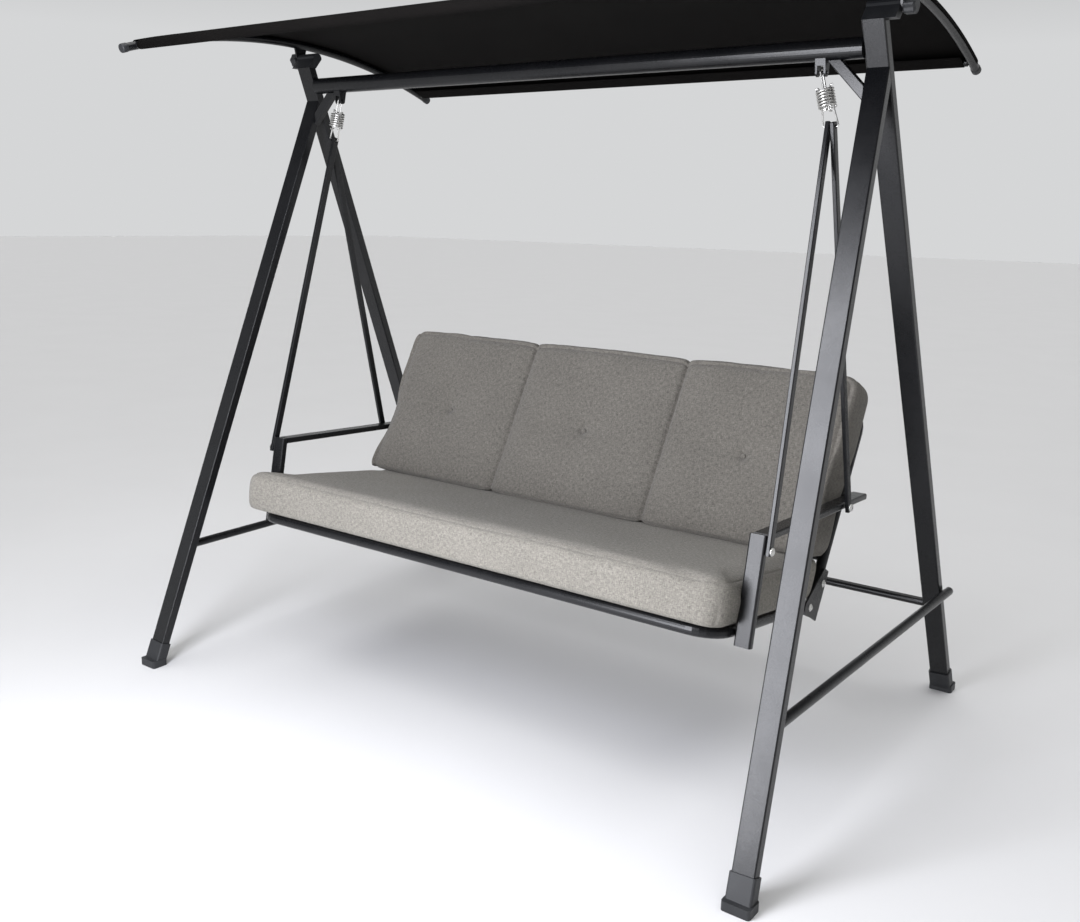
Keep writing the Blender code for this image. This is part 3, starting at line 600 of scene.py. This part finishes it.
def seat_cushion(cloth_material):
    """A boxed cushion, flat beneath, crowned on top and swelling at its sides."""
    low, high = span("seat_cushion", SEAT_UP)
    front, _ = span("seat_cushion", SEAT_ALONG)
    rear, _ = span("seat_cushion", BACK_FRONT)
    box_low, box_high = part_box("seat_cushion")
    bottom_line = SEAT_UP * (low + CLEAR)
    top_line = SEAT_UP * high
    rear_line = BACK_FRONT * (rear + CLEAR)
    low_front = bottom_line + SEAT_ALONG * front
    high_front = top_line + SEAT_ALONG * front
    low_rear = line_crossing(bottom_line, SEAT_ALONG, rear_line, BACK_UP)
    high_rear = line_crossing(top_line, SEAT_ALONG, rear_line, BACK_UP)
    size = (box_high.x - box_low.x, (low_rear - low_front).length, high - low)
    xs, bs, cs = [graded_lines(length) for length in size]
    flat, quads, cloth, _ = box_grid(xs, bs, cs)
    soft = soften_box(flat, size, SEAT_ROUNDING)
    places = quad_map(soft, size, (low_front, low_rear, high_rear, high_front))
    places[:, 0] += front_corner_bulge(places, flat)
    item = cushion_mesh("seat_cushion_cover", places, quads, cloth)
    share_x = np.clip(2 * flat[:, 0] / size[0] - 1, -1, 1)
    share_b = np.clip(2 * flat[:, 1] / size[1] - 1, -1, 1)
    share_c = np.clip(2 * flat[:, 2] / size[2] - 1, -1, 1)
    on_top = flat[:, 2] > size[2] - 1e-6
    on_bottom = flat[:, 2] < 1e-6
    crown = (1 - share_x ** 8) * (1 - np.abs(share_b) ** 3)
    swell = np.where(on_top, SEAT_CROWN * crown, 0.0)
    swell += np.where(~on_top & ~on_bottom, SEAT_SIDE_SWELL * (1 - share_c ** 2), 0.0)
    rolling = 0.0022 * soft_noise(places, 5.0, 1.0) + 0.0011 * soft_noise(places, 14.0, 3.0)
    swell += np.where(on_bottom, 0.0, rolling)
    raise_skin(item, swell - seam_pull(flat, size, places, 7.0))
    inflate(item, set(np.where(on_bottom)[0]))
    subdivide(item)
    finish_piece(item, cloth_material, "seat")
    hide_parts("seat_cushion")


# Its cloth_material is the darker copy of the heather cloth, which carries painted shade onto the back
# cushion and its buttons.
def back_cushion(cloth_material, thread):
    """A boxed cushion of three panels, parted by sewn channels, with a tufted button in each."""
    rear, front = span("back_cushion", BACK_FRONT)
    _, top = span("back_cushion", BACK_UP)
    low, _ = span("back_cushion", SEAT_UP)
    box_low, box_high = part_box("back_cushion")
    bottom_line = SEAT_UP * (low + 0.003)
    rear_line = BACK_FRONT * (rear + CLEAR)
    front_line = BACK_FRONT * front
    front_low = line_crossing(bottom_line, SEAT_ALONG, front_line, BACK_UP)
    rear_low = line_crossing(bottom_line, SEAT_ALONG, rear_line, BACK_UP)
    rear_high = rear_line + BACK_UP * top
    front_high = front_line + BACK_UP * top
    size = (box_high.x - box_low.x, (rear_high - rear_low).length, front - rear)
    channels = [size[0] / 2 + x for x in (-CHANNEL_X, CHANNEL_X)]
    buttons = [size[0] / 2 + x for x in (-BUTTON_X, 0.0, BUTTON_X)]
    button_low, button_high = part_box("button_middle")
    button_up = ((button_low + button_high) / 2).dot(BACK_UP)
    front_share = (button_up - front_low.dot(BACK_UP)) / (front_high - front_low).length
    button_b = front_share * size[1]
    xs = graded_lines(size[0], channels + buttons)
    bs, cs = graded_lines(size[1], [button_b]), graded_lines(size[2])
    flat, quads, cloth, index = box_grid(xs, bs, cs)
    soft = soften_box(flat, size, BACK_ROUNDING)
    places = quad_map(soft, size, (rear_low, rear_high, front_high, front_low))
    item = cushion_mesh("back_cushion_cover", places, quads, cloth)
    on_front = flat[:, 2] > size[2] - 1e-6
    on_rear = flat[:, 2] < 1e-6
    facing = np.clip(flat[:, 2] / size[2], 0, 1) ** 2
    edges = [0.0, channels[0], channels[1], size[0]]
    crown = np.zeros(len(flat))
    for left, right in zip(edges, edges[1:]):
        share = np.clip((2 * flat[:, 0] - left - right) / (right - left), -1, 1)
        inside = (flat[:, 0] >= left) & (flat[:, 0] <= right)
        crown = np.where(inside, 1 - np.abs(share) ** 2.6, crown)
    share_b = np.clip(2 * flat[:, 1] / size[1] - 1, -1, 1)
    swell = BACK_CROWN * facing * crown * (1 - 0.6 * share_b ** 4) - BACK_FACE_DROP * facing
    arm_low, arm_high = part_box("armrest_left")
    arm_b = ((arm_low.z + arm_high.z) / 2 - rear_low.z) / (rear_high.z - rear_low.z) * size[1]
    level = smooth_step(flat[:, 2] / (0.3 * size[2]))
    on_side = (flat[:, 0] < 1e-6) | (flat[:, 0] > size[0] - 1e-6)
    clear_of_arm = smooth_step((np.abs(flat[:, 1] - arm_b) - ARM_HALF_HEIGHT) / ARM_FADE)
    on_end = flat[:, 1] > size[1] - 1e-6
    outer_swell = np.where(on_side, SIDE_SWELL * clear_of_arm * level, 0)
    outer_swell += np.where(on_end, TOP_SWELL * level, 0)
    swell += np.where(on_side & on_end, outer_swell / 2, outer_swell)
    for line in channels:
        away = np.abs(flat[:, 0] - line)
        groove = 0.50 * np.exp(-away / 0.012) + 0.50 * np.exp(-(away / 0.0042) ** 2)
        swell -= CHANNEL_DEPTH * facing * groove
    for line in buttons:
        across, up = flat[:, 0] - line, flat[:, 1] - button_b
        away = np.hypot(across, up)
        dimple = 0.55 * np.exp(-np.maximum(away - 0.006, 0) / 0.026)
        dimple += 0.45 * np.exp(-(away / 0.013) ** 2)
        crease = 0.0045 * np.exp(-(across / 0.034) ** 2 - (up / 0.0065) ** 2)
        crease += 0.0012 * np.exp(-(across / 0.008) ** 2 - (up / 0.026) ** 2)
        swell -= np.where(on_front, BUTTON_DEPTH * dimple + crease, 0)
    rolling = 0.0020 * soft_noise(places, 6.0, 11.0) + 0.0012 * soft_noise(places, 16.0, 13.0)
    swell += np.where(on_rear, 0.0, rolling)
    raise_skin(item, swell - seam_pull(flat, size, places, 17.0))
    held = set(np.where(on_rear)[0])
    for line in channels:
        held |= set(np.where(on_front & (np.abs(flat[:, 0] - line) < 0.0045))[0])
    for line in buttons:
        away = np.hypot(flat[:, 0] - line, flat[:, 1] - button_b)
        held |= set(np.where(on_front & (away < 0.0105))[0])
    inflate(item, held)
    settled = vertex_places(item)
    for side, line in zip(("left", "right"), channels):
        i = xs.index(round(line, 5))
        groove = [settled[index[(i, j, len(cs) - 1)]] for j in range(3, len(bs) - 3)]
        stitch_row("channel_stitches_" + side, groove, BACK_FRONT, thread)
    for side, line in zip(("left", "middle", "right"), buttons):
        away = np.hypot(flat[:, 0] - line, flat[:, 1] - button_b)
        ring = on_front & (away > 0.005) & (away < 0.0095)
        centre = Vector(settled[ring].mean(axis=0))
        centre.x = line - size[0] / 2
        tuft_button(side, centre - BACK_FRONT * 0.0005, cloth_material)
    subdivide(item)
    finish_piece(item, cloth_material, "seat")
    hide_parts("back_cushion")


def stitch_row(name, path, outward, material):
    """A row of short thread stitches lying along a path."""
    # how far along a stitch each of its rings is, its girth, and its height in thread radii
    shape = ((0.0, 0.35, -0.2), (0.12, 0.9, 0.7), (0.5, 1.0, 1.2), (0.88, 0.9, 0.7), (1.0, 0.35, -0.2))
    sides = 6
    path = [Vector(p) for p in path]
    lengths = [0.0]
    for a, b in zip(path, path[1:]):
        lengths.append(lengths[-1] + (b - a).length)

    def along(distance):
        for a, b, start, end in zip(path, path[1:], lengths, lengths[1:]):
            if distance <= end:
                return a.lerp(b, (distance - start) / max(end - start, 1e-9))
        return path[-1]

    builder = bmesh.new()
    place = 0.002
    while place + STITCH_LENGTH < lengths[-1]:
        direction = (along(place + STITCH_LENGTH) - along(place)).normalized()
        side = direction.cross(outward).normalized()
        rings = []
        for share, girth, lift in shape:
            centre = along(place + share * STITCH_LENGTH) + outward * STITCH_RADIUS * lift
            ring = []
            for n in range(sides):
                angle = math.tau * n / sides
                spread = side * math.cos(angle) + outward * math.sin(angle)
                ring.append(builder.verts.new(centre + spread * STITCH_RADIUS * girth))
            rings.append(ring)
        close_rings(builder, rings)
        place += STITCH_LENGTH + STITCH_GAP
    bmesh.ops.recalc_face_normals(builder, faces=builder.faces)
    finish_piece(link_mesh(name, builder), material, "seat")


def lathe(name, centre, outward, radius, profile, sides):
    """A turned solid: profile gives pairs of share of the radius and height along outward."""
    outward = Vector(outward).normalized()
    u = outward.orthogonal().normalized()
    v = outward.cross(u)
    builder = bmesh.new()
    rings = []
    for share, height in profile:
        ring = []
        for n in range(sides):
            angle = math.tau * n / sides
            spread = u * math.cos(angle) + v * math.sin(angle)
            ring.append(builder.verts.new(Vector(centre) + spread * radius * share + outward * height))
        rings.append(ring)
    close_rings(builder, rings)
    bmesh.ops.recalc_face_normals(builder, faces=builder.faces)
    return link_mesh(name, builder)


def tuft_button(side, centre, material):
    """A small cloth-covered button with a domed face, sunk into its tuft."""
    profile = ((0.70, -0.003), (1.0, -0.0015), (1.0, 0.0008), (0.93, 0.0020), (0.76, 0.0031),
               (0.5, 0.0038), (0.22, 0.0041))
    item = lathe("tuft_button_" + side, centre, BACK_FRONT, BUTTON_RADIUS, profile, 28)
    layer = item.data.uv_layers.new(name="cloth")
    for loop in item.data.loops:
        place = item.data.vertices[loop.vertex_index].co
        layer.data[loop.index].uv = (place.x, place.dot(BACK_UP))
    finish_piece(item, material, "seat")
    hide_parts("button_" + side)


# ---------------------------------------------------------------- canopy

def canopy_curve():
    """Centre and radius of the canopy's arch in the Y-Z plane, from its cloth solid's upper face."""
    vertices = [v.co for v in frame["nodes"]["canopy_fabric"].data.vertices]
    crown = max(vertices, key=lambda v: v.z)
    first = min(vertices, key=lambda v: v.y)
    last = max(vertices, key=lambda v: v.y)
    tops = []
    for end in (first, last):
        near = [v for v in vertices if abs(v.y - end.y) < 0.004]
        tops.append(max(near, key=lambda v: v.z))
    a, b, c = tops[0], crown, tops[1]
    matrix = np.array([[b.y - a.y, b.z - a.z], [c.y - b.y, c.z - b.z]]) * 2
    squares = [p.y ** 2 + p.z ** 2 for p in (a, b, c)]
    centre = np.linalg.solve(matrix, np.array([squares[1] - squares[0], squares[2] - squares[1]]))
    return centre, math.hypot(b.y - centre[0], b.z - centre[1])


def half_turn(centre, radius, angle, sign, steps):
    """Points round a bar's cross-section, from its top outward to its underside."""
    points = []
    for k in range(1, steps + 1):
        turn = angle + sign * math.pi * k / steps
        points.append((centre[0] + radius * math.sin(turn), centre[1] + radius * math.cos(turn)))
    return points


def canopy_profile():
    """The sheet's section from front to back: hem, round the front bar, over, round the rear bar, hem.
    Gives its points and the numbers of the first and last that lie between the bars."""
    centre, radius = canopy_curve()
    radius -= COVER_DROP
    bars = []
    for node in ("canopy_bar_front", "canopy_bar_rear"):
        low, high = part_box(node)
        bars.append((low + high) / 2)
    angles = [math.atan2(bar.y - centre[0], bar.z - centre[1]) for bar in bars]
    profile = []
    for k in range(COVER_ROWS + 1):
        angle = angles[0] + (angles[1] - angles[0]) * k / COVER_ROWS
        profile.append((centre[0] + radius * math.sin(angle), centre[1] + radius * math.cos(angle)))
    ends = []
    for bar, angle, sign in ((bars[0], angles[0], -1), (bars[1], angles[1], 1)):
        turn = half_turn((bar.y, bar.z), BAR_WRAP, angle, sign, 8)
        tangent = (-sign * math.cos(angle), sign * math.sin(angle))
        y, z = turn[-1]
        flap = []
        for k in range(1, 5):
            along = HEM_FLAP * k / 4
            flap.append((y + tangent[0] * along, z + tangent[1] * along + 0.0018 * k))
        ends.append(turn + flap)
    first = len(ends[0])
    return ends[0][::-1] + profile + ends[1], first, first + COVER_ROWS


def distances(points):
    """How far along a line of flat points each one is."""
    total = [0.0]
    for a, b in zip(points, points[1:]):
        total.append(total[-1] + math.hypot(b[0] - a[0], b[1] - a[1]))
    return total


def canopy_cover(material):
    """One cloth sheet over the canopy: hems turned round its two bars, sides lapped over the arcs."""
    profile, first, last = canopy_profile()
    lengths = distances(profile)
    low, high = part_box("canopy_arc_right")
    arc_x = (low.x + high.x) / 2
    # across the width: flat from arc to arc, then over the top of each arc tube and down its outer side
    flat = [(-arc_x + 2 * arc_x * n / COVER_COLUMNS, 0.0) for n in range(COVER_COLUMNS + 1)]
    turns = [SIDE_LAP_TURN * k / 6 for k in range(1, 7)]
    lap = [(SIDE_WRAP * math.sin(t), SIDE_WRAP * (math.cos(t) - 1)) for t in turns]
    left_lap = [(-arc_x - dx, dz) for dx, dz in reversed(lap)]
    across = left_lap + flat + [(arc_x + dx, dz) for dx, dz in lap]
    widths = distances(across)
    builder = bmesh.new()
    layer = builder.loops.layers.uv.new("cloth")
    grid = []
    for x, drop in across:
        share = min(1.0, max(0.0, (x + arc_x) / (2 * arc_x)))
        swing = math.sin(math.pi * share)
        between = 1.0 if 0 < share < 1 else 0.0
        line = []
        for k, (y, z) in enumerate(profile):
            over = first <= k <= last
            place = min(1.0, max(0.0, (k - first) / (last - first)))
            bay = math.sin(math.pi * place)
            sag = COVER_SAG * swing ** 0.8 * bay ** 2
            ripple = COVER_RIPPLE * math.sin(7 * math.pi * share + 2.0 * place) * bay ** 2 * swing
            pull = math.exp(-min(share, 1 - share) / 0.025) * math.sin(14 * math.pi * place)
            pull *= COVER_PULL * bay
            fold = drop if over else 0.0
            reach = x if over else max(-arc_x + HEM_INSET, min(arc_x - HEM_INSET, x))
            line.append(builder.verts.new((reach, y, z + fold - between * (sag + ripple + pull))))
        grid.append(line)
    for n in range(len(across) - 1):
        for k in range(len(profile) - 1):
            hemmed = k < first or k >= last
            if hemmed and abs(across[n][0] + across[n + 1][0]) / 2 > arc_x - 0.012:
                continue
            corners = ((n, k), (n + 1, k), (n + 1, k + 1), (n, k + 1))
            face = builder.faces.new([grid[a][b] for a, b in corners])
            for loop, (a, b) in zip(face.loops, corners):
                loop[layer].uv = (widths[a], lengths[b])
    loose = [v for v in builder.verts if not v.link_faces]
    bmesh.ops.delete(builder, geom=loose, context="VERTS")
    bmesh.ops.recalc_face_normals(builder, faces=builder.faces)
    item = link_mesh("canopy_cover", builder)
    thick = item.modifiers.new("thickness", "SOLIDIFY")
    thick.thickness = COVER_THICKNESS
    thick.offset = 0
    bpy.context.view_layer.objects.active = item
    bpy.ops.object.modifier_apply(modifier="thickness")
    finish_piece(item, material, "canopy")
    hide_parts("canopy_fabric")


# ---------------------------------------------------------------- springs

def spring_coils(material):
    """Smooth coil springs, each from its hook's pin down to its loop's eye."""
    rearward = Vector((0, 1, 0))
    steps = int(COIL_TURNS * 30)
    for side, sign in (("left", -1), ("right", 1)):
        hook_low, hook_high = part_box("spring_hook_" + side)
        pin = Vector((sign * PIN_X, (hook_low.y + hook_high.y) / 2, PIN_Z))
        eye = Vector((sign * EYE_X, pin.y, EYE_Z))
        down = (eye - pin).normalized()
        across = rearward.cross(down)
        path = []
        for k in range(steps + 1):
            angle = math.tau * COIL_TURNS * k / steps
            level = COIL_TOP + (COIL_BOTTOM - COIL_TOP) * k / steps
            spread = across * math.cos(angle) + rearward * math.sin(angle)
            path.append(pin + down * level + spread * COIL_RADIUS)
        coil = tube("coil_" + side, path, WIRE_RADIUS, 12)
        coil.data.materials.append(material)
        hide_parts("spring_coil_" + side)
        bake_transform(coil)


# ---------------------------------------------------------------- small fixings

def dome_bolt(name, centre, outward, radius, material, body):
    """A domed bolt head on a washer."""
    profile = ((1.45, 0.0), (1.45, 0.0007), (1.38, 0.0011), (1.0, 0.0011), (1.0, 0.0020),
               (0.92, 0.0033), (0.72, 0.0044), (0.42, 0.0051), (0.14, 0.0054))
    item = lathe(name, centre, outward, radius, profile, 24)
    finish_piece(item, material, body)


def bracket_bolts(material):
    """Two bolt heads on the outer face of each bracket between the seat frame and the back frame."""
    places = (FRAME_JOINT + BACK_UP * 0.055, FRAME_JOINT - SEAT_ALONG * 0.045)
    for side, sign in (("left", -1), ("right", 1)):
        low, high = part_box("frame_bracket_" + side)
        face = max(abs(low.x), abs(high.x))
        for number, place in enumerate(places, 1):
            centre = (sign * (face + 0.0003), place.y, place.z)
            name = "bracket_bolt_%s_%d" % (side, number)
            dome_bolt(name, centre, (sign, 0, 0), 0.0065, material, "seat")


def arc_end_caps(material):
    """A plastic cap on each end of the canopy's two arc tubes."""
    centre, _ = canopy_curve()
    profile = ((1.00, -0.014), (1.09, -0.0132), (1.11, -0.012), (1.11, 0.0005), (1.04, 0.0022),
               (0.80, 0.0031))
    for side in ("left", "right"):
        vertices = [v.co for v in frame["nodes"]["canopy_arc_" + side].data.vertices]
        for end, pick, sign in (("front", min, -1), ("rear", max, 1)):
            tip = pick(vertices, key=lambda v: v.y)
            ring = [v for v in vertices if (v - tip).length < 2.1 * ARC_TUBE_RADIUS]
            middle = sum(ring, Vector()) / len(ring)
            outward = Vector((0, middle.z - centre[1], centre[0] - middle.y)) * sign
            name = "arc_cap_%s_%s" % (side, end)
            item = lathe(name, middle, outward, ARC_TUBE_RADIUS, profile, 32)
            finish_piece(item, material, "canopy")


# ---------------------------------------------------------------- stage

def make_camera():
    data = bpy.data.cameras.new("camera")
    camera = bpy.data.objects.new("camera", data)
    bpy.context.collection.objects.link(camera)
    data.lens = CAMERA_LENS_MM
    turn = Matrix.Rotation(CAMERA_YAW, 4, "Z")
    turn = turn @ Matrix.Rotation(math.pi / 2 - CAMERA_PITCH, 4, "X")
    turn = turn @ Matrix.Rotation(CAMERA_ROLL, 4, "Z")
    camera.matrix_world = Matrix.Translation(CAMERA_PLACE) @ turn
    bpy.context.scene.camera = camera


def area_light(name, place, target, size, radiance, colour):
    """A rectangular softbox whose face has the given radiance."""
    data = bpy.data.lights.new(name, "AREA")
    data.shape = "RECTANGLE"
    data.size, data.size_y = size
    data.energy = radiance * math.pi * size[0] * size[1]
    data.color = colour
    light = bpy.data.objects.new(name, data)
    bpy.context.collection.objects.link(light)
    light.location = place
    light.rotation_mode = "QUATERNION"
    light.rotation_quaternion = (Vector(target) - Vector(place)).to_track_quat("-Z", "Y")
    light.visible_camera = False


def make_world():
    """A studio that is pale at the horizon and dim overhead."""
    world = bpy.data.worlds.new("studio")
    bpy.context.scene.world = world
    world.use_nodes = True
    tree = world.node_tree
    split = tree.nodes.new("ShaderNodeSeparateXYZ")
    tree.links.new(tree.nodes.new("ShaderNodeTexCoord").outputs["Generated"], split.inputs["Vector"])
    glow = remap(tree, split.outputs["Z"], WORLD_PALE_TO, WORLD_DIM_FROM, WORLD_PALE, WORLD_DIM)
    background = tree.nodes["Background"]
    background.inputs["Color"].default_value = (0.98, 0.99, 1.0, 1)
    tree.links.new(glow, background.inputs["Strength"])


def make_stage():
    builder = bmesh.new()
    bmesh.ops.create_grid(builder, x_segments=1, y_segments=1, size=FLOOR_REACH)
    floor = link_mesh("floor", builder, smooth=False)
    material, tree, shader = new_material("pale_floor")
    tint = noise_node(tree, object_coords(tree), 2.0, 3.0)
    colour = mix_colour(tree, tint, (0.61, 0.61, 0.615, 1), (0.64, 0.64, 0.645, 1))
    tree.links.new(colour, shader.inputs["Base Color"])
    shader.inputs["Roughness"].default_value = 0.8
    floor.data.materials.append(material)
    make_world()
    area_light("key", KEY_PLACE, KEY_AIM, KEY_SIZE, KEY_RADIANCE, KEY_COLOUR)
    sky = bpy.data.objects.new("overhead", bpy.data.lights.new("overhead", "SUN"))
    bpy.context.collection.objects.link(sky)
    sky.data.energy = SKY_STRENGTH
    sky.data.angle = SKY_ANGLE
    bpy.context.scene.view_settings.view_transform = "Standard"


# ---------------------------------------------------------------- build

def dress_cad_nodes(finishes):
    """Gives every CAD node the finish of its material slot."""
    for part in frame["record"]["subparts"]:
        node = frame["nodes"].get(part["node"])
        material = finishes.get(part["material_slot"])
        if node is not None and material is not None:
            node.data.materials.clear()
            node.data.materials.append(material)


make_camera()
cushion_cloth = heather_cloth("heather_cloth", (0.375, 0.354, 0.311, 1), (0.060, 0.056, 0.049, 1))
# The back cushion's cloth is the seat's heather cloth painted about a third darker: painted shade,
# since the back gets less light than the seat front.
back_cloth_painted_shade = heather_cloth("heather_cloth_back_painted_shade", (0.250, 0.234, 0.206, 1), (0.038, 0.035, 0.031, 1))
# The stitch thread is made near black so that it paints dark shade along the sewn channels of the back
# cushion.
thread = plain_thread("thread", (0.030, 0.029, 0.027, 1))
# The canopy cloth is made near black, darker than dark cloth alone: partly its own dark colour, partly
# painted shade of its underside.
canopy_cloth = canvas_cloth("canopy_cloth", (0.0062, 0.0054, 0.0050, 1), (0.0028, 0.0025, 0.0024, 1))
coat = powder_coat("powder_coat", (0.0050, 0.0053, 0.0062, 1), (0.013, 0.013, 0.014, 1))
zinc = zinc_plate("zinc")
plastic = grained_plastic("dark_plastic")
dress_cad_nodes({"powder_coat": coat, "zinc": zinc, "dark_plastic": plastic,
                 "cushion_cloth": cushion_cloth, "canopy_cloth": canopy_cloth})
seat_cushion(cushion_cloth)
back_cushion(back_cloth_painted_shade, thread)
canopy_cover(canopy_cloth)
spring_coils(zinc)
bracket_bolts(zinc)
arc_end_caps(plastic)
make_stage()
